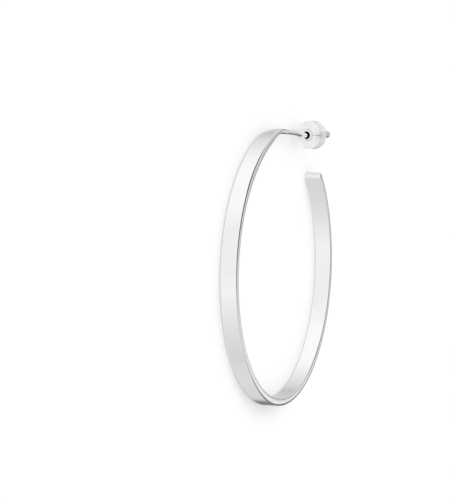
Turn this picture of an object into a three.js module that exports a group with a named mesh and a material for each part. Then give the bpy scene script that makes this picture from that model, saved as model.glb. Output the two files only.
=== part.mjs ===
// Hoop earring: a flat polished band bent into an open hoop, whose upper end narrows to a round ear post,
// and a clear disc ear back with a metal core that slides on that post.
// Millimetres, +Z up. The hoop lies on its side, as it rests by itself: its plane is level, its lower edge is
// at z = 0, +Y runs from its bottom to its crest, and +X points the way that the post leaves the crest.

import * as THREE from "three";

// Hoop band
const HOOP_OUTER_RADIUS = 24.75;
const BAND_WIDTH = 3.1;
const BAND_THICKNESS = 1.3;
const OUTER_CORNER_RADIUS = 0.25;
const INNER_CORNER_RADIUS = 0.08;
const FREE_END_ANGLE = 46;
const FREE_END_LEAN = 8;

// Crest of the hoop, where the band rises a little, thins and narrows to the post. Angles are measured from +X.
const RISE_START_ANGLE = 138;
const RISE_END_ANGLE = 100;
const CREST_RISE = 0.52;
const TAPER_START_ANGLE = 114;

// Ear post
const POST_DIAMETER = 0.9;
const POST_SWING_ANGLE = 12;
const SWING_BEND_LENGTH = 2;
const DROP_START = 3.4;
const DROP_LENGTH = 4.4;
const POST_DROP = 0.26;
const POST_CLIMB_ANGLE = 4.6;
const POST_IN_CORE = 5.4;
const POST_TIP_ROUND = 0.3;

// Ear back
const DISC_DIAMETER = 5.2;
const DISC_THICKNESS = 2.4;
const DISC_EDGE_ROUND = 0.3;
const MOUTH_CLEARANCE = 0.7;
const CORE_TUBE_DIAMETER = 1.34;
const CORE_LENGTH = 7.3;
const CORE_LIP_DIAMETER = 2.2;
const CORE_LIP_HEIGHT = 0.08;
const FUNNEL_DEPTH = 0.6;
const FUNNEL_LIP_WALL = 0.14;
const BORE_END_ROOM = 0.6;
const BORE_CLEARANCE = 0.06;
const SEAT_GAP = 0.05;

// Fineness of the meshes
const ARC_STEP = 5;
const CREST_STEP = 2.5;
const POST_STEPS = 16;
const CORNER_POINTS = 4;
const ROUND_SIDES = 32;
const ROUND_STEPS = 4;

const CREST_ANGLE = 90;
const FULL_TURN = 360;
const POST_RADIUS = POST_DIAMETER / 2;
const CREST_HEIGHT = HOOP_OUTER_RADIUS + CREST_RISE - POST_RADIUS;

const radians = THREE.MathUtils.degToRad;
const blend = (from, to, share) => from + (to - from) * share;
const easeBetween = (value, start, end) => {
  const share = THREE.MathUtils.clamp((value - start) / (end - start), 0, 1);
  return share * share * (3 - 2 * share);
};

// Band at an angle: its middle in the hoop's plane, and the shares by which it is narrowed and thinned towards
// the round post. Its outer face is set first, and its thickness lies inside that.
function bandStation(angle) {
  const narrow = easeBetween(angle, TAPER_START_ANGLE, CREST_ANGLE);
  const thin = easeBetween(angle, RISE_START_ANGLE, CREST_ANGLE);
  const outerRadius = HOOP_OUTER_RADIUS + CREST_RISE * easeBetween(angle, RISE_START_ANGLE, RISE_END_ANGLE);
  const radius = outerRadius - blend(BAND_THICKNESS, POST_DIAMETER, thin) / 2;
  const middle = new THREE.Vector3(radius * Math.cos(radians(angle)), radius * Math.sin(radians(angle)), 0);
  return { middle, narrow, thin, size: 1 };
}

// Length of a straight run that starts with a smooth bend of the given length
function bentRun(along, bendLength) {
  if (along <= 0) return 0;
  return along < bendLength ? (along * along) / (2 * bendLength) : along - bendLength / 2;
}

// Middle of the post at a distance past the crest: it swings out of the hoop's plane, dips, and climbs gently
function postPoint(along) {
  const dropEnd = DROP_START + DROP_LENGTH;
  const climb = Math.tan(radians(POST_CLIMB_ANGLE));
  const dip = THREE.MathUtils.clamp((along - DROP_START) / DROP_LENGTH, 0, 1);
  const easedDip = dip * dip * (3 - 2 * dip);
  const endSlope = dip * dip * (dip - 1) * DROP_LENGTH * climb;
  const climbed = Math.max(along - dropEnd, 0) * climb;
  return new THREE.Vector3(
    along,
    CREST_HEIGHT - POST_DROP * easedDip + endSlope + climbed,
    Math.tan(radians(POST_SWING_ANGLE)) * bentRun(along, SWING_BEND_LENGTH),
  );
}

// Where the post becomes straight, and the way it runs from there
const POST_STRAIGHT_START = DROP_START + DROP_LENGTH;
const POST_DIRECTION = postPoint(POST_STRAIGHT_START + 1).sub(postPoint(POST_STRAIGHT_START)).normalize();
const MOUTH_POINT = postPoint(POST_STRAIGHT_START).addScaledVector(POST_DIRECTION, MOUTH_CLEARANCE);

// Outline of a bar whose outer and inner corners are rounded. A round wire is the same outline with full corners.
function barOutline(halfWidth, halfThickness, outerRadius, innerRadius) {
  const corners = [
    { side: 1, out: 1, radius: outerRadius, start: 0 },
    { side: -1, out: 1, radius: outerRadius, start: 90 },
    { side: -1, out: -1, radius: innerRadius, start: 180 },
    { side: 1, out: -1, radius: innerRadius, start: 270 },
  ];
  return corners.flatMap(({ side, out, radius, start }) =>
    Array.from({ length: CORNER_POINTS }, (unused, index) => {
      const turn = radians(start + (90 * (index + 0.5)) / CORNER_POINTS);
      return [
        side * (halfWidth - radius) + radius * Math.cos(turn),
        out * (halfThickness - radius) + radius * Math.sin(turn),
      ];
    }),
  );
}

// Section of the band where it is narrowed and thinned by shares: 0 is the full band and 1 is the round post
function taperedOutline(narrow, thin) {
  return barOutline(
    blend(BAND_WIDTH / 2, POST_RADIUS, narrow),
    blend(BAND_THICKNESS / 2, POST_RADIUS, thin),
    blend(OUTER_CORNER_RADIUS, POST_RADIUS, narrow),
    blend(INNER_CORNER_RADIUS, POST_RADIUS, narrow),
  );
}

function anglesBetween(from, to, step) {
  const count = Math.ceil(Math.abs(to - from) / step);
  return Array.from({ length: count }, (unused, index) => blend(from, to, index / count));
}

// Places along the hoop from its free end to the tip of the post, each with its middle, narrowing and size.
// The cut at the free end leans, so that the band's outer face is a little longer than its inner face.
function hoopStations() {
  const bandAngles = [
    ...anglesBetween(FULL_TURN + FREE_END_ANGLE, FULL_TURN, ARC_STEP),
    ...anglesBetween(FULL_TURN, RISE_START_ANGLE, ARC_STEP),
    ...anglesBetween(RISE_START_ANGLE, CREST_ANGLE, CREST_STEP),
  ];
  const band = bandAngles.map(bandStation);
  band[0].lean = Math.tan(radians(FREE_END_LEAN));
  const bent = Array.from({ length: POST_STEPS }, (unused, index) => ({
    middle: postPoint((POST_STRAIGHT_START * index) / POST_STEPS),
    narrow: 1,
    thin: 1,
    size: 1,
  }));
  const tipLengths = Array.from({ length: ROUND_STEPS }, (unused, index) => {
    const turn = radians((90 * index) / ROUND_STEPS);
    return { back: POST_TIP_ROUND * (1 - Math.sin(turn)), size: blend(1, Math.cos(turn), POST_TIP_ROUND / POST_RADIUS) };
  });
  const straight = [{ back: MOUTH_CLEARANCE + POST_IN_CORE, size: 1 }, ...tipLengths].map(({ back, size }) => ({
    middle: MOUTH_POINT.clone().addScaledVector(POST_DIRECTION, POST_IN_CORE - back),
    narrow: 1,
    thin: 1,
    size,
  }));
  return [...band, ...bent, ...straight];
}

// Closed body through outlines placed along a run of stations, with flat ends
function sweptBody(stations) {
  const positions = [];
  const side = new THREE.Vector3();
  const out = new THREE.Vector3();
  const travel = new THREE.Vector3();
  stations.forEach(({ middle, narrow, thin, size, lean = 0 }, index) => {
    const before = stations[Math.max(index - 1, 0)].middle;
    const after = stations[Math.min(index + 1, stations.length - 1)].middle;
    travel.subVectors(after, before).normalize();
    side.set(0, 0, 1).addScaledVector(travel, -travel.z).normalize();
    out.crossVectors(side, travel);
    taperedOutline(narrow, thin).forEach(([across, outward]) => {
      const point = middle.clone().addScaledVector(side, across * size).addScaledVector(out, outward * size);
      point.addScaledVector(travel, -outward * lean);
      positions.push(point.x, point.y, point.z);
    });
  });
  const around = 4 * CORNER_POINTS;
  const indices = [];
  for (let station = 0; station < stations.length - 1; station += 1) {
    for (let corner = 0; corner < around; corner += 1) {
      const here = station * around + corner;
      const next = station * around + ((corner + 1) % around);
      indices.push(here, here + around, next, next, here + around, next + around);
    }
  }
  const last = (stations.length - 1) * around;
  for (let corner = 1; corner < around - 1; corner += 1) {
    indices.push(0, corner, corner + 1);
    indices.push(last, last + corner + 1, last + corner);
  }
  const geometry = new THREE.BufferGeometry();
  geometry.setAttribute("position", new THREE.Float32BufferAttribute(positions, 3));
  geometry.setIndex(indices);
  geometry.computeVertexNormals();
  return geometry;
}

// Points of a rounded edge of a turned piece, given its centre, its radius and the first and last direction
function roundedEdge(centreRadius, centreLength, radius, from, to) {
  return Array.from({ length: ROUND_STEPS + 1 }, (unused, index) => {
    const turn = radians(blend(from, to, index / ROUND_STEPS));
    return new THREE.Vector2(centreRadius + radius * Math.cos(turn), centreLength + radius * Math.sin(turn));
  });
}

// Clear disc: a short ring with rounded outer edges, bored for the core's tube and its flared mouth
function earBackDisc() {
  const rimCentre = DISC_DIAMETER / 2 - DISC_EDGE_ROUND;
  const holeRadius = CORE_TUBE_DIAMETER / 2 + SEAT_GAP;
  const profile = [
    new THREE.Vector2(holeRadius, FUNNEL_DEPTH),
    new THREE.Vector2(CORE_LIP_DIAMETER / 2 + SEAT_GAP, 0),
    ...roundedEdge(rimCentre, DISC_EDGE_ROUND, DISC_EDGE_ROUND, -90, 0),
    ...roundedEdge(rimCentre, DISC_THICKNESS - DISC_EDGE_ROUND, DISC_EDGE_ROUND, 0, 90),
    new THREE.Vector2(holeRadius, DISC_THICKNESS),
    new THREE.Vector2(holeRadius, FUNNEL_DEPTH),
  ];
  return new THREE.LatheGeometry(profile, ROUND_SIDES);
}

// Metal core: a flared lip in front of the disc, a tube through it and a rounded tail, with a blind bore
function earBackCore() {
  const boreRadius = (POST_RADIUS + BORE_CLEARANCE) / Math.cos(Math.PI / ROUND_SIDES);
  const boreEnd = POST_IN_CORE + BORE_END_ROOM;
  const tubeRadius = CORE_TUBE_DIAMETER / 2;
  const lipRadius = CORE_LIP_DIAMETER / 2;
  const profile = [
    new THREE.Vector2(0, boreEnd),
    new THREE.Vector2(boreRadius, boreEnd),
    new THREE.Vector2(boreRadius, FUNNEL_DEPTH),
    new THREE.Vector2(lipRadius - FUNNEL_LIP_WALL, -CORE_LIP_HEIGHT),
    new THREE.Vector2(lipRadius, -CORE_LIP_HEIGHT / 2),
    new THREE.Vector2(lipRadius, 0),
    new THREE.Vector2(tubeRadius, FUNNEL_DEPTH),
    ...roundedEdge(0, CORE_LENGTH - tubeRadius, tubeRadius, 0, 90),
  ];
  profile[profile.length - 1].x = 0;
  return new THREE.LatheGeometry(profile, ROUND_SIDES);
}

const polishedSilver = new THREE.MeshStandardMaterial({ color: 0xe6e6e8, roughness: 0.08, metalness: 1 });
const coreSteel = new THREE.MeshStandardMaterial({ color: 0xd2d2d6, roughness: 0.12, metalness: 1 });
const clearSilicone = new THREE.MeshStandardMaterial({
  color: 0xf2f3f4,
  roughness: 0.18,
  metalness: 0,
  transparent: true,
  opacity: 0.55,
});

function namedMesh(name, geometry, material) {
  const mesh = new THREE.Mesh(geometry, material);
  mesh.name = name;
  return mesh;
}

// The ear back is turned about its own axis, which lies along the straight of the post
function earBack() {
  const group = new THREE.Group();
  group.add(namedMesh("ear_back_disc", earBackDisc(), clearSilicone));
  group.add(namedMesh("ear_back_core", earBackCore(), coreSteel));
  group.quaternion.setFromUnitVectors(new THREE.Vector3(0, 1, 0), POST_DIRECTION);
  group.position.copy(MOUTH_POINT);
  return group;
}

const hoopEarring = new THREE.Group();
hoopEarring.add(namedMesh("hoop_with_post", sweptBody(hoopStations()), polishedSilver));
hoopEarring.add(earBack());

// The origin is under the middle of the whole earring's box, on the surface that it lies on
const box = new THREE.Box3().setFromObject(hoopEarring, true);
hoopEarring.position.set(-(box.min.x + box.max.x) / 2, -(box.min.y + box.max.y) / 2, -box.min.z);

export default hoopEarring;
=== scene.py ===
"""Dresses the hoop earring: a polished silver hoop and post, and a clear disc ear back on a metal core.

Every length is in metres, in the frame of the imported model, where the hoop lies on its side on the floor.
"""

import logging
import math
from dataclasses import dataclass, field
from enum import Enum

import bpy
import numpy as np
from mathutils import Matrix, Vector


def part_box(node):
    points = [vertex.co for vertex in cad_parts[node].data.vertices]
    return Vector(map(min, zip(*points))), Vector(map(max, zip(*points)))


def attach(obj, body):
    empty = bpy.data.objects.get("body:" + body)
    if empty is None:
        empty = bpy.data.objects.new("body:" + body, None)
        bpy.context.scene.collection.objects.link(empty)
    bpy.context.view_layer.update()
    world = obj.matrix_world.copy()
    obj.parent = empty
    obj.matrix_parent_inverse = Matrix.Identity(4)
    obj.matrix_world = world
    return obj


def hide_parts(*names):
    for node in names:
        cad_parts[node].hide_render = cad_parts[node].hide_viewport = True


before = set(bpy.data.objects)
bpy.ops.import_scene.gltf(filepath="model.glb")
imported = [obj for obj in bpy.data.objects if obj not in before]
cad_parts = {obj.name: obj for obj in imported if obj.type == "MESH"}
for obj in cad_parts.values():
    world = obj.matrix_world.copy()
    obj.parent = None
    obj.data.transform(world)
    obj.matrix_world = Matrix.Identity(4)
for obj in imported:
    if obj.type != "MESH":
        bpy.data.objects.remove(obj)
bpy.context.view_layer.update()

MM = 0.001
RIGHT_ANGLE = 90.0
FULL_TURN = 360.0
UPWARD = np.array([0.0, 0.0, 1.0])
log = logging.getLogger("hoop_earring")

# Steps in a metre of the grid on which a profile's points are told apart
PROFILE_STEPS = 1e8

# The shortest edge that is drawn, in metres, and the smallest face that is made flat, in square metres
SHORTEST_EDGE = 1e-9
SMALLEST_AREA = 1e-15

# Edges along a profile's small arcs
ARC_STEPS = 8

# The usual lowest and highest value of a noise
NOISE_LOW = 0.3
NOISE_HIGH = 0.7

# Brightness of the studio walls, by the azimuth in degrees
WALLS = {
    0.0: 0.67, 10.0: 0.66, 26.0: 0.62, 36.0: 0.565, 46.0: 0.69, 56.0: 0.77, 66.0: 0.84,
    80.0: 0.97, 100.0: 1.02, 125.0: 1.0, 150.0: 0.91, 180.0: 0.91, 200.0: 0.94, 220.0: 0.84,
    240.0: 0.75, 260.0: 0.7, 285.0: 0.76, 305.0: 0.7, 340.0: 0.64,
}

# A colour, a direction or a trace
Triple = tuple[float, float, float]
Piece = bpy.types.Object
Socket = bpy.types.NodeSocket


class Node(Enum):
    """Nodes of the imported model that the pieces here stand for."""

    HOOP = "hoop_with_post"
    DISC = "ear_back_disc"
    CORE = "ear_back_core"


class Body(Enum):
    """Bodies that the pieces ride on."""

    HOOP = "hoop"
    EAR_BACK = "ear_back"


class Slot(Enum):
    """Material slots of the record."""

    SILVER = "polished_silver"
    SILICONE = "clear_silicone"
    CORE_METAL = "core_metal"


def ease(value: float, start: float, end: float) -> float:
    """Gives a smooth share of the way from start to end.

    Args:
        value: Where to read the share.
        start: The value where the share is 0.
        end: The value where the share is 1.

    Returns:
        The share, from 0 to 1, level at both ends.
    """
    share = min(max((value - start) / (end - start), 0.0), 1.0)
    return share * share * (3.0 - 2.0 * share)


def blend(first: float, last: float, share: float) -> float:
    """Gives the value at a share of the way from first to last."""
    return first + (last - first) * share


def unit(vector: np.ndarray) -> np.ndarray:
    """Gives the vector at length 1."""
    return vector / np.linalg.norm(vector)


def live_socket(sockets: bpy.types.bpy_prop_collection, name: str) -> Socket:
    """Finds the socket of a name that the node uses in its present mode."""
    return next(socket for socket in sockets if socket.enabled and socket.name == name)


@dataclass(frozen=True)
class Noise:
    """How fine a noise is, and its octaves."""

    fineness: float
    octaves: float


class NodeDesk:
    """Short calls for adding nodes to one tree."""

    def __init__(self, tree: bpy.types.NodeTree) -> None:
        """Takes the tree to add to."""
        self.tree = tree

    def add(
        self, kind: str, values: dict[str, float | Triple] | None = None, **settings: str
    ) -> bpy.types.Node:
        """Adds a node.

        Args:
            kind: The node's type name.
            values: Plain values for its inputs, by their names.
            settings: Its own settings, by their names.

        Returns:
            The node.
        """
        made = self.tree.nodes.new(kind)
        for name, setting in settings.items():
            setattr(made, name, setting)
        for name, value in (values or {}).items():
            made.inputs[name].default_value = value
        return made

    def link(self, source: Socket, target: Socket) -> None:
        """Links an output to an input."""
        self.tree.links.new(source, target)


class NodeBench(NodeDesk):
    """Builds one material's nodes."""

    def __init__(self, name: str) -> None:
        """Starts a node material with a principled surface.

        Args:
            name: The material's name.
        """
        self.material = bpy.data.materials.new(name)
        self.material.use_nodes = True
        super().__init__(self.material.node_tree)
        self.surface = self.tree.nodes["Principled BSDF"]

    def put(self, name: str, value: float) -> None:
        """Sets one of the surface's own inputs to a plain value."""
        self.surface.inputs[name].default_value = value

    def feed(self, name: str, source: Socket) -> None:
        """Links a result to one of the surface's inputs."""
        self.link(source, self.surface.inputs[name])

    def sample(self, noise: Noise, vector: Socket) -> Socket:
        """Adds noise at a place and gives its value.

        Args:
            noise: The kind of noise.
            vector: The place to read it.

        Returns:
            The noise's value.
        """
        made = self.add("ShaderNodeTexNoise", {"Scale": noise.fineness, "Detail": noise.octaves})
        self.link(vector, made.inputs["Vector"])
        return made.outputs["Fac"]

    def clouds(self, noise: Noise) -> Socket:
        """Adds noise in the piece's own space and gives its value."""
        return self.sample(noise, self.add("ShaderNodeTexCoord").outputs["Object"])

    def lines(self, noise: Noise, stretch: Triple) -> Socket:
        """Adds noise that follows the piece's own lengths along and around it.

        Args:
            noise: The kind of noise.
            stretch: How much finer it is along the piece, around it and across its painted shade.

        Returns:
            The noise's value.
        """
        trace = self.add("ShaderNodeAttribute", attribute_name="trace")
        mapping = self.add("ShaderNodeMapping", {"Scale": stretch})
        self.link(trace.outputs["Vector"], mapping.inputs["Vector"])
        return self.sample(noise, mapping.outputs["Vector"])

    def spread(self, value: Socket, low: float, high: float) -> Socket:
        """Maps a noise value to a range.

        Args:
            value: The noise.
            low: The result where the noise is at its usual lowest.
            high: The result where it is at its usual highest.

        Returns:
            The mapped value.
        """
        values = {"From Min": NOISE_LOW, "From Max": NOISE_HIGH, "To Min": low, "To Max": high}
        spread = self.add("ShaderNodeMapRange", values)
        self.link(value, spread.inputs["Value"])
        return spread.outputs["Result"]

    def tint(self, value: Socket, first: Triple, last: Triple) -> Socket:
        """Mixes two colours by a noise.

        Args:
            value: The noise.
            first: The colour where the noise is low.
            last: The colour where it is high.

        Returns:
            The mixed colour.
        """
        ramp = self.add("ShaderNodeValToRGB")
        ramp.color_ramp.elements[0].position = NOISE_LOW
        ramp.color_ramp.elements[0].color = (*first, 1.0)
        ramp.color_ramp.elements[1].position = NOISE_HIGH
        ramp.color_ramp.elements[1].color = (*last, 1.0)
        self.link(value, ramp.inputs["Fac"])
        return ramp.outputs["Color"]

    def paint_shade(self, colour: Socket, shade: Triple) -> Socket:
        """Darkens a colour by the painted shade that the trace carries.

        Args:
            colour: The colour elsewhere.
            shade: The colour of full painted shade.

        Returns:
            The shaded colour.
        """
        trace = self.add("ShaderNodeAttribute", attribute_name="trace")
        split = self.add("ShaderNodeSeparateXYZ")
        mix = self.add("ShaderNodeMix", data_type="RGBA")
        live_socket(mix.inputs, "B").default_value = (*shade, 1.0)
        self.link(trace.outputs["Vector"], split.inputs["Vector"])
        self.link(split.outputs["Z"], live_socket(mix.inputs, "Factor"))
        self.link(colour, live_socket(mix.inputs, "A"))
        return live_socket(mix.outputs, "Result")

    def bump(self, value: Socket, strength: float, depth: float) -> None:
        """Raises the surface by a value.

        Args:
            value: The height.
            strength: How much of it shows.
            depth: The height of a full value, in metres.
        """
        bump = self.add("ShaderNodeBump", {"Strength": strength, "Distance": depth})
        self.link(value, bump.inputs["Height"])
        self.feed("Normal", bump.outputs["Normal"])


@dataclass(frozen=True)
class PolishedMetal:
    """Mirror-polished metal with faint polishing lines along the piece, a slight haze and painted shade."""

    name: str
    bright: Triple
    hazy: Triple
    smooth_roughness: float
    hazy_roughness: float
    # The colour that painted shade darkens the metal to
    painted_shade: Triple
    haze: Noise = Noise(420.0, 3.0)
    wear: Noise = Noise(1500.0, 4.0)
    polish: Noise = Noise(9000.0, 2.0)
    polish_stretch: Triple = (0.03, 1.0, 1.0)
    polish_strength: float = 0.12
    polish_depth: float = 0.002 * MM

    def material(self) -> bpy.types.Material:
        """Builds the node material.

        Returns:
            The material, hazy in places, lined along the piece and darkened by painted shade.
        """
        bench = NodeBench(self.name)
        bench.put("Metallic", 1.0)
        colour = bench.tint(bench.clouds(self.haze), self.bright, self.hazy)
        bench.feed("Base Color", bench.paint_shade(colour, self.painted_shade))
        wear = bench.clouds(self.wear)
        bench.feed("Roughness", bench.spread(wear, self.smooth_roughness, self.hazy_roughness))
        polish = bench.lines(self.polish, self.polish_stretch)
        bench.bump(polish, self.polish_strength, self.polish_depth)
        return bench.material


@dataclass(frozen=True)
class ClearSilicone:
    """Clear moulded silicone with a soft surface, faint clouding and painted shade."""

    name: str
    clear: Triple
    clouded: Triple
    smooth_roughness: float
    clouded_roughness: float
    # The colour that painted shade darkens the silicone to
    painted_shade: Triple = (0.0, 0.0, 0.0)
    transmission: float = 0.7
    refraction: float = 1.41
    gloss: float = 0.7
    gloss_roughness: float = 0.08
    clouding: Noise = Noise(700.0, 3.0)
    softness: Noise = Noise(2600.0, 3.0)
    grain: Noise = Noise(3800.0, 2.0)
    grain_strength: float = 0.01
    grain_depth: float = 0.004 * MM

    def material(self) -> bpy.types.Material:
        """Builds the node material.

        Returns:
            The material, see-through but soft, under a gloss.
        """
        bench = NodeBench(self.name)
        bench.put("Transmission Weight", self.transmission)
        bench.put("IOR", self.refraction)
        bench.put("Coat Weight", self.gloss)
        bench.put("Coat Roughness", self.gloss_roughness)
        colour = bench.tint(bench.clouds(self.clouding), self.clear, self.clouded)
        bench.feed("Base Color", bench.paint_shade(colour, self.painted_shade))
        softness = bench.clouds(self.softness)
        bench.feed("Roughness", bench.spread(softness, self.smooth_roughness, self.clouded_roughness))
        bench.bump(bench.clouds(self.grain), self.grain_strength, self.grain_depth)
        return bench.material


@dataclass(frozen=True)
class FloorFinish:
    """Plain pale floor with a hardly visible grain."""

    name: str = "pale_floor"
    pale: Triple = (0.86, 0.86, 0.86)
    paler: Triple = (0.87, 0.87, 0.87)
    grain: Noise = Noise(30.0, 2.0)
    roughness: float = 0.9
    shine: float = 0.0

    def material(self) -> bpy.types.Material:
        """Builds the node material.

        Returns:
            The material, matt and almost even.
        """
        bench = NodeBench(self.name)
        bench.put("Roughness", self.roughness)
        bench.put("Specular IOR Level", self.shine)
        bench.feed("Base Color", bench.tint(bench.clouds(self.grain), self.pale, self.paler))
        return bench.material


@dataclass
class MeshDraft:
    """Corners, faces and shading normals of a closed mesh while it is being made.

    A trace holds a corner's length along the piece, its length around it and its painted shade, from 0 to
    1.
    """

    corners: list[np.ndarray] = field(default_factory=list)
    faces: list[tuple[int, ...]] = field(default_factory=list)
    face_normals: list[list[np.ndarray]] = field(default_factory=list)
    traces: list[Triple] = field(default_factory=list)

    def add_corner(self, place: np.ndarray, trace: Triple) -> int:
        """Adds a corner.

        Args:
            place: The corner's place.
            trace: Lengths along and around the piece, and the painted shade there.

        Returns:
            The corner's number.
        """
        self.corners.append(place)
        self.traces.append(trace)
        return len(self.corners) - 1

    def add_face(self, numbers: list[int], normals: list[np.ndarray]) -> None:
        """Adds a face, turned so that it looks the way that its normals point.

        Args:
            numbers: The face's corners, in order.
            normals: The shading normal at each of them.
        """
        points = [self.corners[number] for number in numbers]
        across = np.zeros(3)
        for here, following in zip(points, points[1:] + points[:1]):
            across += np.cross(here - points[0], following - points[0])
        if across @ sum(normals) < 0.0:
            numbers = numbers[::-1]
            normals = normals[::-1]
        self.faces.append(tuple(numbers))
        self.face_normals.append(normals)

    def make_object(self, name: str) -> Piece:
        """Makes the mesh object, with its shading normals and its trace attribute.

        Args:
            name: The object's name.

        Returns:
            The object, linked to the scene.
        """
        mesh = bpy.data.meshes.new(name)
        mesh.from_pydata([tuple(corner) for corner in self.corners], [], self.faces)
        attribute = mesh.attributes.new("trace", "FLOAT_VECTOR", "POINT")
        attribute.data.foreach_set("vector", np.array(self.traces, dtype=np.float32).ravel())
        mesh.shade_smooth()
        mesh.normals_split_custom_set([tuple(unit(n)) for normals in self.face_normals for n in normals])
        mesh.update()
        made = bpy.data.objects.new(name, mesh)
        bpy.context.scene.collection.objects.link(made)
        return made


@dataclass(frozen=True)
class Corner:
    """Oval rounding of a corner: its reach over the face and its reach over the side."""

    over_face: float
    over_side: float

    def within(self, half_width: float, half_thickness: float) -> "Corner":
        """Gives the rounding, cut down where the outline has less room than it needs."""
        return Corner(min(self.over_face, half_width), min(self.over_side, half_thickness))


@dataclass(frozen=True)
class BarSection:
    """Section of a bar with rounded outer and inner corners; with full corners it is a round wire."""

    half_width: float
    half_thickness: float
    outer_corner: Corner
    inner_corner: Corner

    def outline(self, points: int, inset: float = 0.0) -> list[tuple[float, float, float, float]]:
        """Lists the outline's points.

        Args:
            points: Points on each corner.
            inset: How far the outline is drawn in, for the rounding at an end.

        Returns:
            For each point its place across and outward and its normal across and outward.
        """
        corners = [
            (1.0, 1.0, self.outer_corner, 0.0),
            (-1.0, 1.0, self.outer_corner, RIGHT_ANGLE),
            (-1.0, -1.0, self.inner_corner, 2.0 * RIGHT_ANGLE),
            (1.0, -1.0, self.inner_corner, 3.0 * RIGHT_ANGLE),
        ]
        half_width = self.half_width - inset
        half_thickness = self.half_thickness - inset
        rows = []
        for side, out, corner, start in corners:
            kept = corner.within(half_width, half_thickness)
            for index in range(points):
                share = index / (points - 1)
                turn = math.radians(start + RIGHT_ANGLE * share)
                normal = unit(np.array([math.cos(turn) / kept.over_face, math.sin(turn) / kept.over_side]))
                rows.append((
                    side * (half_width - kept.over_face) + kept.over_face * math.cos(turn),
                    out * (half_thickness - kept.over_side) + kept.over_side * math.sin(turn),
                    float(normal[0]),
                    float(normal[1]),
                ))
        return rows


@dataclass
class SweepStation:
    """One place along a swept bar.

    The inset draws the section in at a rounded end, and the lean sets its outer side back along the bar.
    Facing is how far the shading normals look along the bar, from -1 to 1. The cut share is 1 on the cut
    end and 0 where the end's rounding is over.
    """

    middle: np.ndarray
    section: BarSection
    inset: float = 0.0
    lean: float = 0.0
    facing: float = 0.0
    # The cut share scales the painted shade on the cut end
    cut_share: float = 0.0


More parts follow.
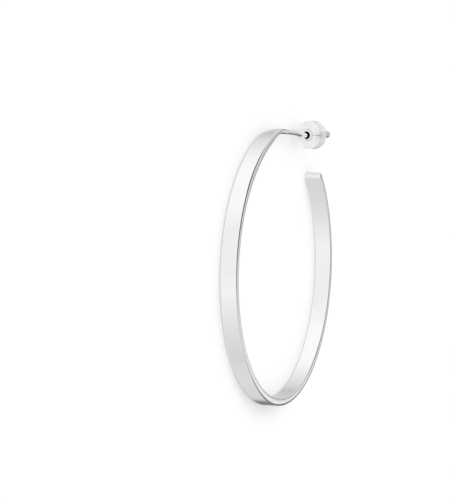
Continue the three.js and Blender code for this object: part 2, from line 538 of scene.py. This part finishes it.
@dataclass
class HoopWithPost:
    """The hoop's band and the round ear post that it narrows to, one piece of silver."""

    outer_radius: float = 24.75 * MM
    band_width: float = 3.1 * MM
    band_thickness: float = 1.3 * MM
    outer_corner: Corner = Corner(0.28 * MM, 0.7 * MM)
    inner_corner: Corner = Corner(0.2 * MM, 0.4 * MM)
    free_end_angle: float = 46.9
    free_end_lean: float = 8.0
    free_end_round: float = 0.3 * MM
    # Painted shade on the cut end, darker towards its outer side
    cut_painted_shade: float = 0.16
    cut_outer_painted_shade: float = 0.12
    rise_start: float = 138.0
    rise_end: float = 100.0
    crest_rise: float = 0.52 * MM
    taper_start: float = 114.0
    crest_angle: float = RIGHT_ANGLE
    post_diameter: float = 0.9 * MM
    swing_angle: float = 12.0
    swing_bend: float = 2.0 * MM
    drop_start: float = 3.4 * MM
    drop_length: float = 4.4 * MM
    post_drop: float = 0.26 * MM
    climb_angle: float = 4.6
    mouth_clearance: float = 0.7 * MM
    post_in_core: float = 5.4 * MM
    tip_round: float = 0.3 * MM
    band_step: float = 1.0
    post_steps: int = 60
    corner_points: int = 9
    round_steps: int = 6

    @property
    def centre(self) -> np.ndarray:
        """The middle of the hoop's circle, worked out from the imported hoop's box."""
        low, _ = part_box(Node.HOOP.value)
        return np.array([0.0, low.y + self.outer_radius, low.z + self.band_width / 2.0])

    @property
    def crest_height(self) -> float:
        """Height of the post's middle at the crest, over the circle's middle."""
        return self.outer_radius + self.crest_rise - self.post_diameter / 2.0

    @property
    def straight_start(self) -> float:
        """How far past the crest the post becomes straight."""
        return self.drop_start + self.drop_length

    def section(self, narrow: float, thin: float) -> BarSection:
        """Gives the section between the band and the round post.

        Args:
            narrow: How far the width has narrowed to the post's, from 0 to 1.
            thin: How far the thickness has thinned to it.

        Returns:
            The section.
        """
        wire = self.post_diameter / 2.0
        corners = [
            Corner(blend(corner.over_face, wire, narrow), blend(corner.over_side, wire, narrow))
            for corner in (self.outer_corner, self.inner_corner)
        ]
        half_width = blend(self.band_width / 2.0, wire, narrow)
        half_thickness = blend(self.band_thickness / 2.0, wire, thin)
        return BarSection(half_width, half_thickness, *corners)

    def band_station(self, angle: float) -> SweepStation:
        """Places the band at an angle.

        Args:
            angle: The angle round the hoop, in degrees.

        Returns:
            The station. Its outer face is set first, and its thickness lies inside that.
        """
        narrow = ease(angle, self.taper_start, self.crest_angle)
        thin = ease(angle, self.rise_start, self.crest_angle)
        outer = self.outer_radius + self.crest_rise * ease(angle, self.rise_start, self.rise_end)
        radius = outer - blend(self.band_thickness, self.post_diameter, thin) / 2.0
        turn = math.radians(angle)
        middle = np.array([radius * math.cos(turn), radius * math.sin(turn), 0.0])
        return SweepStation(self.centre + middle, self.section(narrow, thin))

    def post_point(self, along: float) -> np.ndarray:
        """Gives the post's middle.

        Args:
            along: How far past the crest it lies, along +X.

        Returns:
            The place. The post swings out of the hoop's plane, dips, and then climbs gently.
        """
        climb = math.tan(math.radians(self.climb_angle))
        dip = min(max((along - self.drop_start) / self.drop_length, 0.0), 1.0)
        fall = self.post_drop * ease(dip, 0.0, 1.0)
        turn_up = dip * dip * (dip - 1.0) * self.drop_length * climb
        climbed = max(along - self.straight_start, 0.0) * climb
        run = along - self.swing_bend / 2.0
        if along < self.swing_bend:
            run = along * along / (2.0 * self.swing_bend)
        swing = math.tan(math.radians(self.swing_angle)) * run
        return self.centre + np.array([along, self.crest_height - fall + turn_up + climbed, swing])

    @property
    def post_direction(self) -> np.ndarray:
        """The way that the straight of the post runs."""
        start = self.straight_start
        return unit(self.post_point(start + MM) - self.post_point(start))

    @property
    def mouth(self) -> np.ndarray:
        """The point of the post's axis in the plane of the disc's front face."""
        return self.post_point(self.straight_start) + self.mouth_clearance * self.post_direction

    def stations(self) -> list[SweepStation]:
        """Lists the places that the bar is swept through.

        Returns:
            The stations, from the cut free end round the band to the tip of the post.
        """
        cut_angle = FULL_TURN + self.free_end_angle
        first = cut_angle - self.band_step
        cut = self.band_station(cut_angle)
        travel = unit(self.band_station(first).middle - cut.middle)
        lean = math.tan(math.radians(self.free_end_lean))
        rows = []
        for index in range(self.round_steps + 1):
            turn = math.radians(RIGHT_ANGLE * (1.0 - index / self.round_steps))
            depth = self.free_end_round * (1.0 - math.sin(turn))
            inset = self.free_end_round * (1.0 - math.cos(turn))
            share = 1.0 - index / self.round_steps
            rows.append(
                SweepStation(cut.middle + depth * travel, cut.section, inset, lean, -math.sin(turn), share)
            )
        count = round((first - self.crest_angle) / self.band_step)
        rows += [self.band_station(blend(first, self.crest_angle, index / count)) for index in range(count)]
        wire = self.section(1.0, 1.0)
        for index in range(self.post_steps):
            rows.append(SweepStation(self.post_point(self.straight_start * index / self.post_steps), wire))
        tip = self.mouth + self.post_in_core * self.post_direction
        for index in range(self.round_steps + 1):
            turn = math.radians(RIGHT_ANGLE * index / self.round_steps)
            back = self.tip_round * (1.0 - math.sin(turn))
            inset = self.tip_round * (1.0 - math.cos(turn))
            rows.append(SweepStation(tip - back * self.post_direction, wire, inset, 0.0, math.sin(turn)))
        return rows

    def build(self) -> Piece:
        """Sweeps the bar through its stations.

        Returns:
            The closed, smoothly shaded mesh object.
        """
        draft = MeshDraft()
        stations = self.stations()
        rings: list[list[int]] = []
        ring_normals: list[list[np.ndarray]] = []
        along = 0.0
        for index, station in enumerate(stations):
            before = stations[max(index - 1, 0)].middle
            after = stations[min(index + 1, len(stations) - 1)].middle
            along += float(np.linalg.norm(station.middle - before))
            travel = unit(after - before)
            side = unit(UPWARD - travel[2] * travel)
            out = np.cross(side, travel)
            ring = []
            normals = []
            around = 0.0
            last_place = None
            for across, outward, normal_across, normal_out in station.section.outline(
                self.corner_points, station.inset
            ):
                place = station.middle + across * side + outward * (out - station.lean * travel)
                around += 0.0 if last_place is None else float(np.linalg.norm(place - last_place))
                last_place = place
                # Painted shade on the cut end, darker towards its outer side
                cut = self.cut_painted_shade + self.cut_outer_painted_shade * outward / station.section.half_thickness
                ring.append(draft.add_corner(place, (along, around, station.cut_share * cut)))
                flat = normal_across * side + normal_out * out
                normals.append(math.sqrt(1.0 - station.facing**2) * flat + station.facing * travel)
            rings.append(ring)
            ring_normals.append(normals)
        self.join_rings(draft, rings, ring_normals)
        for ring, normals in ((rings[0], ring_normals[0]), (rings[-1], ring_normals[-1])):
            draft.add_face(list(ring), normals)
        return draft.make_object("silver_hoop")

    @staticmethod
    def join_rings(draft: MeshDraft, rings: list[list[int]], normals: list[list[np.ndarray]]) -> None:
        """Joins each ring of corners to the next one with a strip of faces.

        Args:
            draft: The mesh to add to.
            rings: The corners of each ring, in order along the bar.
            normals: The shading normal of each of them.
        """
        for first, second, first_normals, second_normals in zip(rings, rings[1:], normals, normals[1:]):
            for here in range(len(first)):
                following = (here + 1) % len(first)
                shading = [first_normals[here], first_normals[following]]
                shading += [second_normals[following], second_normals[here]]
                draft.add_face([first[here], first[following], second[following], second[here]], shading)

    def dress(self, piece: Piece, finish: PolishedMetal) -> None:
        """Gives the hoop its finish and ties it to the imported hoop.

        Args:
            piece: The hoop.
            finish: Its silver.
        """
        piece.data.materials.append(finish.material())
        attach(piece, Body.HOOP.value)
        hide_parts(Node.HOOP.value)


@dataclass(frozen=True)
class Slit:
    """Fine V-shaped slit across a turned piece's front face, from its hole to its rim."""

    half_angle: float
    depth: float
    front_reach: float
    # The slit is painted dark, and painted shade fades round its end inside the wall
    end_shade_angle: float
    end_shade_reach: float
    end_painted_shade: float

    def pushed(self, length: float, turn: float) -> float:
        """Gives a point's length, deeper on the slit's bottom line.

        Args:
            length: The length on the uncut piece.
            turn: How far round from the slit the point lies, in degrees.

        Returns:
            The length.
        """
        return length + self.depth if length <= self.front_reach and turn == 0.0 else length

    def shade_share(self, length: float, turn: float) -> float:
        """Gives the painted shade in the slit and, behind the front face, round its end.

        Args:
            length: The length on the uncut piece.
            turn: How far round from the slit the point lies, in degrees.

        Returns:
            The dullness, from 0 to 1.
        """
        if length <= self.front_reach:
            return float(turn == 0.0)
        fading = max(1.0 - length / self.end_shade_reach, 0.0)
        return self.end_painted_shade * fading * math.exp(-((turn / self.end_shade_angle) ** 2))


@dataclass(frozen=True)
class Spoke:
    """A direction square to a turned piece's axis, and how far round it lies, in degrees."""

    way: np.ndarray
    turn: float


def point_key(point: np.ndarray) -> tuple[int, int]:
    """Gives the key that like points of a profile share."""
    return round(float(point[0]) * PROFILE_STEPS), round(float(point[1]) * PROFILE_STEPS)


@dataclass
class Turning:
    """A turned piece while it is being made, with the rings of corners that it has so far."""

    origin: np.ndarray
    axis: np.ndarray
    spokes: list[Spoke]
    slit: Slit | None
    draft: MeshDraft = field(default_factory=MeshDraft)
    rings: dict[tuple[int, int], list[int]] = field(default_factory=dict)

    def ring(self, point: np.ndarray, travelled: float, shade_share: float) -> list[int]:
        """Makes the ring of corners that a profile's point turns into, or finds it if it is made.

        Args:
            point: The profile's point.
            travelled: The profile's length up to the point.
            shade_share: The painted shade there, from 0 to 1, apart from the slit's.

        Returns:
            The corner number on each spoke. A point on the axis has the same number on all.
        """
        key = point_key(point)
        if key in self.rings:
            return self.rings[key]
        if key[0] == 0:
            middle = self.draft.add_corner(self.origin + point[1] * self.axis, (travelled, 0.0, 0.0))
            self.rings[key] = [middle] * len(self.spokes)
            return self.rings[key]
        self.rings[key] = []
        for spoke in self.spokes:
            length = float(point[1])
            share = shade_share
            if self.slit:
                turn = min(spoke.turn, FULL_TURN - spoke.turn)
                share = max(shade_share, self.slit.shade_share(length, turn))
                length = self.slit.pushed(length, turn)
            place = self.origin + length * self.axis + point[0] * spoke.way
            trace = (travelled, float(point[0]) * math.radians(spoke.turn), share)
            self.rings[key].append(self.draft.add_corner(place, trace))
        return self.rings[key]


@dataclass
class TurnedProfile:
    """Half section of a turned piece, as edges that carry their own normals, so that corners stay crisp."""

    edges: list[tuple[np.ndarray, np.ndarray, np.ndarray, np.ndarray]] = field(default_factory=list)
    shade_points: dict[tuple[int, int], float] = field(default_factory=dict)
    pen: np.ndarray | None = None

    def shade(self, shade_share: float) -> "TurnedProfile":
        """Paints shade, to a share from 0 to 1, at the point under the pen."""
        self.shade_points[point_key(self.pen)] = shade_share
        return self

    def shade_share(self, point: np.ndarray) -> float:
        """Gives the painted shade at a point."""
        return self.shade_points.get(point_key(point), 0.0)

    def line_to(self, radius: float, length: float) -> "TurnedProfile":
        """Draws a straight edge from the pen to a point, or sets the pen down there.

        Args:
            radius: Distance from the axis.
            length: Distance along the axis.

        Returns:
            The profile, for the next stroke.
        """
        target = np.array([radius, length])
        if self.pen is not None and np.linalg.norm(target - self.pen) > SHORTEST_EDGE:
            step = unit(target - self.pen)
            normal = np.array([step[1], -step[0]])
            self.edges.append((self.pen, normal, target, normal))
        self.pen = target
        return self

    def arc(
        self, centre: tuple[float, float], radius: float, start: float, end: float, steps: int = ARC_STEPS
    ) -> "TurnedProfile":
        """Draws a straight edge to an arc's first point and then the arc.

        Args:
            centre: The arc's centre, from the axis and along it.
            radius: The arc's radius.
            start: Direction of its first point from the centre, in degrees.
            end: Direction of its last point.
            steps: Edges along the arc.

        Returns:
            The profile, for the next stroke.
        """
        middle = np.array(centre)
        sign = 1.0 if end > start else -1.0
        spokes = [
            np.array([math.cos(math.radians(turn)), math.sin(math.radians(turn))])
            for turn in np.linspace(start, end, steps + 1)
        ]
        self.line_to(*(middle + radius * spokes[0]))
        for first, second in zip(spokes, spokes[1:]):
            start_point = middle + radius * first
            end_point = middle + radius * second
            self.edges.append((start_point, sign * first, end_point, sign * second))
        self.pen = middle + radius * spokes[-1]
        return self

    def turn(
        self, name: str, origin: np.ndarray, axis: np.ndarray, sides: int, slit: Slit | None = None
    ) -> Piece:
        """Turns the profile about an axis.

        Args:
            name: The object's name.
            origin: Where length 0 lies on the axis.
            axis: The way that length grows.
            sides: Faces round the piece.
            slit: The slit to cut, if any. It lies on the piece's upper side.

        Returns:
            The closed mesh object.
        """
        turns = [float(turn) for turn in np.linspace(0.0, FULL_TURN, sides, endpoint=False)]
        if slit:
            spared = [turn for turn in turns if slit.half_angle < turn < FULL_TURN - slit.half_angle]
            turns = [0.0, slit.half_angle, *spared, FULL_TURN - slit.half_angle]
        up = unit(UPWARD - axis[2] * axis)
        side = np.cross(axis, up)
        spokes = []
        for turn in turns:
            angle = math.radians(turn)
            spokes.append(Spoke(math.cos(angle) * up + math.sin(angle) * side, turn))
        made = Turning(origin, axis, spokes, slit)
        travelled = 0.0
        for first, first_normal, second, second_normal in self.edges:
            start = made.ring(first, travelled, self.shade_share(first))
            travelled += float(np.linalg.norm(second - first))
            end = made.ring(second, travelled, self.shade_share(second))
            for here in range(len(spokes)):
                following = (here + 1) % len(spokes)
                picks = (
                    (start, first_normal, here),
                    (start, first_normal, following),
                    (end, second_normal, following),
                    (end, second_normal, here),
                )
                numbers = []
                normals = []
                for ring, normal, at in picks:
                    if ring[at] not in numbers:
                        numbers.append(ring[at])
                        normals.append(normal[0] * spokes[at].way + normal[1] * axis)
                if slit and 0 in (here, following):
                    normals = self.flat_normals([made.draft.corners[number] for number in numbers], normals)
                made.draft.add_face(numbers, normals)
        return made.draft.make_object(name)

    @staticmethod
    def flat_normals(places: list[np.ndarray], normals: list[np.ndarray]) -> list[np.ndarray]:
        """Makes a face look flat.

        Args:
            places: The face's corners, in order.
            normals: The smooth normal at each of them.

        Returns:
            The face's own normal for each corner, on the side that the smooth ones point to.
        """
        arms = [place - places[0] for place in places]
        across = sum(np.cross(here, there) for here, there in zip(arms, arms[1:]))
        if np.linalg.norm(across) < SMALLEST_AREA:
            return normals
        across = unit(across)
        if across @ sum(normals) < 0.0:
            across = -across
        return [across] * len(places)


@dataclass
class EarBack:
    """The ear back: a clear disc with a metal core that slides on the post."""

    hoop: HoopWithPost
    disc_diameter: float = 5.2 * MM
    disc_thickness: float = 2.4 * MM
    disc_edge: float = 0.14 * MM
    # Painted shade on the disc's side wall, in front and behind
    wall_painted_shade: tuple[float, float] = (0.1, 0.0)
    tube_diameter: float = 1.34 * MM
    core_length: float = 7.3 * MM
    collar_diameter: float = 2.0 * MM
    collar_height: float = 0.5 * MM
    collar_roll: float = 0.1 * MM
    collar_slope: float = 19.3
    seat_depth: float = 0.12 * MM
    funnel_depth: float = 0.6 * MM
    throat_diameter: float = 1.4 * MM
    bore_diameter: float = 1.24 * MM
    # Length over which the throat's painted shade fades out before the collar's roll
    throat_shade: float = 0.08 * MM
    # Painted shade on the tube where it lies inside the disc
    tube_painted_shade: float = 0.89
    bore_end_room: float = 0.6 * MM
    seat_gap: float = 0.02 * MM
    seat_line: float = 0.14 * MM
    # Painted shade round the collar's seat
    seat_painted_shade: float = 0.6
    # Painted shade in the slit and round its end
    slit: Slit = Slit(
        half_angle=3.0,
        depth=0.06 * MM,
        front_reach=0.1 * MM,
        end_shade_angle=17.0,
        end_shade_reach=2.4 * MM,
        end_painted_shade=0.5,
    )
    roll_steps: int = 16
    tail_steps: int = 16
    sides: int = 128

    def disc(self) -> Piece:
        """Builds the clear disc, bored for the core's tube and its collar.

        Returns:
            The disc. Its hole's edge beside the collar, its side wall and its slit have painted shade.
        """
        rim = self.disc_diameter / 2.0 - self.disc_edge
        hole = self.tube_diameter / 2.0 + self.seat_gap
        mouth = self.collar_diameter / 2.0 + self.seat_gap
        # Painted shade on the side wall and round the collar's seat
        front_wall_shade, back_wall_shade = self.wall_painted_shade
        profile = TurnedProfile().line_to(hole, self.funnel_depth)
        profile.line_to(mouth, self.seat_depth + self.seat_gap).shade(self.seat_painted_shade)
        profile.line_to(mouth, 0.0).shade(self.seat_painted_shade).line_to(mouth + self.seat_line, 0.0)
        profile.arc((rim, self.disc_edge), self.disc_edge, -RIGHT_ANGLE, 0.0).shade(front_wall_shade)
        profile.line_to(self.disc_diameter / 2.0, self.disc_thickness - self.disc_edge).shade(back_wall_shade)
        profile.arc((rim, self.disc_thickness - self.disc_edge), self.disc_edge, 0.0, RIGHT_ANGLE)
        profile.line_to(hole, self.disc_thickness).line_to(hole, self.funnel_depth)
        return profile.turn("clear_disc", self.hoop.mouth, self.hoop.post_direction, self.sides, self.slit)

    def core(self) -> Piece:
        """Builds the metal core: the proud collar, the tube and its rounded tail.

        Returns:
            The core. Its bore is blind and widens to the throat at the collar's lip.
        """
        tube = self.tube_diameter / 2.0
        collar = self.collar_diameter / 2.0
        throat = self.throat_diameter / 2.0
        bore = self.bore_diameter / 2.0
        throat_end = self.hoop.post_in_core + self.bore_end_room
        roll_middle = (throat + self.collar_roll, self.collar_roll - self.collar_height)
        # Painted shade in the blind bore and the throat, and on the tube where it lies inside the disc
        profile = TurnedProfile().line_to(0.0, throat_end).line_to(bore, throat_end).shade(1.0)
        profile.line_to(bore, 0.0).shade(1.0)
        profile.line_to(throat, roll_middle[1] + self.throat_shade).shade(1.0)
        profile.arc(roll_middle, self.collar_roll, -2.0 * RIGHT_ANGLE, -self.collar_slope, self.roll_steps)
        profile.line_to(collar, 0.0).line_to(collar, self.seat_depth)
        profile.line_to(tube, self.funnel_depth).shade(self.tube_painted_shade)
        profile.line_to(tube, self.disc_thickness - self.seat_gap).shade(self.tube_painted_shade)
        profile.line_to(tube, self.disc_thickness + self.seat_gap)
        profile.arc((0.0, self.core_length - tube), tube, 0.0, RIGHT_ANGLE, self.tail_steps)
        return profile.turn("metal_core", self.hoop.mouth, self.hoop.post_direction, self.sides)

    def dress(self, disc: Piece, core: Piece, silicone: ClearSilicone, metal: PolishedMetal) -> None:
        """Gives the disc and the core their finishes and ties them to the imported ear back.

        Args:
            disc: The clear disc, which lets the light through to the floor.
            core: The metal core.
            silicone: The disc's finish.
            metal: The core's finish.
        """
        disc.visible_shadow = False
        disc.data.materials.append(silicone.material())
        core.data.materials.append(metal.material())
        for piece, node, slot in ((disc, Node.DISC, Slot.SILICONE), (core, Node.CORE, Slot.CORE_METAL)):
            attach(piece, Body.EAR_BACK.value)
            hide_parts(node.value)


@dataclass(frozen=True)
class Panel:
    """Oval panel with soft edges that hangs before the walls; all its angles are in degrees."""

    azimuth: float
    elevation: float
    half_width: float
    half_height: float
    brightness: float
    softness: float = 0.6


class WallPainter(NodeDesk):
    """Builds the node pattern of the surroundings, by the direction from the part."""

    def __init__(self) -> None:
        """Starts the world and works out each direction's azimuth and elevation, in degrees."""
        self.world = bpy.data.worlds.new("studio_walls")
        self.world.use_nodes = True
        self.world.cycles_visibility.diffuse = False
        super().__init__(self.world.node_tree)
        place = self.add("ShaderNodeTexCoord")
        split = self.add("ShaderNodeSeparateXYZ")
        self.link(place.outputs["Generated"], split.inputs["Vector"])
        turn = self.math("ARCTAN2", split.outputs["Y"], split.outputs["X"])
        self.azimuth = self.math("DEGREES", turn)
        self.elevation = self.math("DEGREES", self.math("ARCSINE", split.outputs["Z"]))

    def math(self, operation: str, *inputs: Socket | float) -> Socket:
        """Adds a math node.

        Args:
            operation: What it works out.
            inputs: Its inputs, as sockets or as plain numbers.

        Returns:
            Its result.
        """
        made = self.add("ShaderNodeMath", operation=operation)
        for socket, value in zip(made.inputs, inputs):
            if isinstance(value, float):
                socket.default_value = value
            else:
                self.link(value, socket)
        return made.outputs["Value"]

    def walls(self, stops: dict[float, float]) -> Socket:
        """Paints the walls round the part.

        Args:
            stops: The brightness at some azimuths; it changes smoothly between them.

        Returns:
            The walls' brightness.
        """
        half_turn = FULL_TURN / 2.0
        share = self.add("ShaderNodeMapRange", {"From Min": -half_turn, "From Max": half_turn})
        ramp = self.add("ShaderNodeValToRGB")
        self.link(self.azimuth, share.inputs["Value"])
        self.link(share.outputs["Result"], ramp.inputs["Fac"])
        placed = sorted(
            (((azimuth + half_turn) % FULL_TURN) / FULL_TURN, brightness)
            for azimuth, brightness in stops.items()
        )
        wrapped = [(placed[-1][0] - 1.0, placed[-1][1]), *placed, (placed[0][0] + 1.0, placed[0][1])]
        seam = float(np.interp(0.0, [row[0] for row in wrapped], [row[1] for row in wrapped]))
        rows = [(0.0, seam), *placed, (1.0, seam)]
        ramp.color_ramp.interpolation = "LINEAR"
        halfway = 0.5
        while len(ramp.color_ramp.elements) < len(rows):
            ramp.color_ramp.elements.new(halfway)
        for element, (position, brightness) in zip(ramp.color_ramp.elements, rows):
            element.position = position
            element.color = (brightness, brightness, brightness, 1.0)
        return ramp.outputs["Color"]

    def hang(self, panel: Panel, behind: Socket) -> Socket:
        """Hangs a panel.

        Args:
            panel: The panel.
            behind: The brightness of what is behind it.

        Returns:
            The brightness with the panel.
        """
        squares = []
        for angle, middle, half in (
            (self.azimuth, panel.azimuth, panel.half_width),
            (self.elevation, panel.elevation, panel.half_height),
        ):
            share = self.math("DIVIDE", self.math("SUBTRACT", angle, middle), half)
            squares.append(self.math("MULTIPLY", share, share))
        distance = self.math("SQRT", self.math("ADD", *squares))
        edges = {"From Min": 1.0 + panel.softness, "From Max": 1.0 - panel.softness}
        cover = self.add("ShaderNodeMapRange", edges, interpolation_type="SMOOTHSTEP")
        self.link(distance, cover.inputs["Value"])
        mix = self.add("ShaderNodeMix", {"B": panel.brightness}, data_type="FLOAT")
        self.link(cover.outputs["Result"], mix.inputs["Factor"])
        self.link(behind, mix.inputs["A"])
        return mix.outputs["Result"]

    def light(self, brightness: Socket) -> None:
        """Lights the world with the finished pattern."""
        self.link(brightness, self.tree.nodes["Background"].inputs["Color"])
        bpy.context.scene.world = self.world


@dataclass
class Studio:
    """Floor, soft light, reflected studio walls and camera."""

    hoop: HoopWithPost
    floor_half_size: float = 1.5
    floor_drop: float = 0.00002
    view_elevation: float = 22.2
    view_roll: float = 1.86
    image_width: float = 450.0
    image_height: float = 500.0
    focal_pixels: float = 2000.0
    hoop_centre_pixel: tuple[float, float] = (279.51, 268.58)
    hoop_radius_pixels: float = 136.67
    sensor: float = 36.0
    near_limit: float = 0.01
    key_direction: Triple = (-0.3, 0.3, 0.9)
    key_strength: float = 0.9
    key_angle: float = 80.0
    fill_direction: Triple = (0.0, 0.0, 1.0)
    fill_strength: float = 2.93
    fill_angle: float = 180.0
    panels: tuple[Panel, ...] = (
        Panel(180.0, 90.0, 400.0, 22.0, 0.95, 0.3),
        Panel(0.0, -90.0, 2000.0, 50.0, 0.98, 0.15),
        Panel(30.0, 14.0, 14.0, 14.0, 0.82, 0.5),
        Panel(12.0, 42.0, 17.0, 8.0, 0.76, 0.4),
        Panel(-6.0, 0.0, 31.0, 11.0, 0.04, 0.3),
        Panel(-28.0, 6.0, 16.0, 14.0, 0.05),
        Panel(-33.0, 20.0, 11.0, 26.0, 0.2, 0.4),
        Panel(22.0, 62.0, 40.0, 16.0, 0.0, 0.25),
        Panel(56.0, 48.0, 26.0, 12.0, 0.02, 0.35),
        Panel(-20.0, -20.0, 13.0, 13.0, 0.22),
        Panel(12.0, 22.0, 12.0, 8.0, 0.42, 0.9),
        Panel(-10.0, 24.0, 7.0, 7.0, 0.9),
    )

    def lay_floor(self, finish: FloorFinish) -> None:
        """Lays the floor just under the part.

        Args:
            finish: The floor's finish.
        """
        half = self.floor_half_size
        corners = [(-half, -half), (half, -half), (half, half), (-half, half)]
        mesh = bpy.data.meshes.new("floor")
        mesh.from_pydata([(x, y, -self.floor_drop) for x, y in corners], [], [(0, 1, 2, 3)])
        mesh.materials.append(finish.material())
        floor = bpy.data.objects.new("floor", mesh)
        bpy.context.scene.collection.objects.link(floor)
        floor.visible_glossy = False

    def hang_light(self, name: str, direction: Triple, strength: float, angle: float) -> None:
        """Hangs one wide soft light far away.

        Args:
            name: The light's name.
            direction: The way from the part to the light.
            strength: Its power on a square metre.
            angle: How wide it looks from the part, in degrees.
        """
        data = bpy.data.lights.new(name, "SUN")
        data.energy = strength
        data.angle = math.radians(angle)
        light = bpy.data.objects.new(name, data)
        light.rotation_euler = Vector(direction).to_track_quat("Z", "Y").to_euler()
        light.visible_glossy = False
        bpy.context.scene.collection.objects.link(light)

    def paint_walls(self) -> None:
        """Gives the metal soft light and dark surroundings to reflect."""
        painter = WallPainter()
        brightness = painter.walls(WALLS)
        for panel in self.panels:
            brightness = painter.hang(panel, brightness)
        painter.light(brightness)

    def place_camera(self) -> None:
        """Places the camera at the photograph's angle to the hoop."""
        elevation = math.radians(self.view_elevation)
        roll = math.radians(self.view_roll)
        right = Vector((
            math.sin(elevation),
            math.cos(elevation) * math.sin(roll),
            math.cos(elevation) * math.cos(roll),
        ))
        down = Vector((0.0, -math.cos(roll), math.sin(roll)))
        forward = right.cross(down)
        scale = self.hoop.outer_radius / self.hoop_radius_pixels
        aside = (self.hoop_centre_pixel[0] - self.image_width / 2.0) * scale
        below = (self.hoop_centre_pixel[1] - self.image_height / 2.0) * scale
        ahead = self.focal_pixels * scale
        data = bpy.data.cameras.new("camera")
        data.lens = self.focal_pixels * self.sensor / self.image_height
        data.sensor_width = self.sensor
        data.clip_start = self.near_limit
        camera = bpy.data.objects.new("camera", data)
        turn = Matrix((right, -down, -forward)).transposed().to_4x4()
        place = Vector(self.hoop.centre) - aside * right - below * down - ahead * forward
        camera.matrix_world = Matrix.Translation(place) @ turn
        bpy.context.scene.collection.objects.link(camera)
        bpy.context.scene.camera = camera

    def set_up(self) -> None:
        """Sets up the whole studio."""
        self.lay_floor(FloorFinish())
        self.hang_light("key_light", self.key_direction, self.key_strength, self.key_angle)
        self.hang_light("fill_light", self.fill_direction, self.fill_strength, self.fill_angle)
        self.paint_walls()
        self.place_camera()
        bpy.context.scene.view_settings.view_transform = "Standard"
        bpy.context.scene.view_settings.look = "None"


def report(piece: Piece) -> None:
    """Logs one finished piece."""
    log.info("built %s with %d faces", piece.name, len(piece.data.polygons))


def main() -> None:
    """Builds and dresses the earring and its studio."""
    logging.basicConfig(level=logging.INFO)
    silver = PolishedMetal(
        name="mirror_silver",
        bright=(0.955, 0.953, 0.95),
        hazy=(0.93, 0.93, 0.932),
        smooth_roughness=0.03,
        hazy_roughness=0.07,
        # Dark, for the painted shade on the cut end
        painted_shade=(0.12, 0.12, 0.12),
    )
    core_metal = PolishedMetal(
        name="core_steel",
        bright=(0.93, 0.93, 0.93),
        hazy=(0.9, 0.9, 0.91),
        smooth_roughness=0.26,
        hazy_roughness=0.34,
        # Near black, for the painted shade in the bore and the throat
        painted_shade=(0.02, 0.02, 0.02),
    )
    silicone = ClearSilicone(
        name="silicone",
        clear=(0.875, 0.88, 0.885),
        clouded=(0.85, 0.855, 0.86),
        smooth_roughness=0.3,
        clouded_roughness=0.38,
    )
    hoop = HoopWithPost()
    band = hoop.build()
    hoop.dress(band, silver)
    report(band)
    ear_back = EarBack(hoop)
    disc = ear_back.disc()
    core = ear_back.core()
    ear_back.dress(disc, core, silicone, core_metal)
    report(disc)
    report(core)
    Studio(hoop).set_up()


if __name__ == "__main__":
    main()
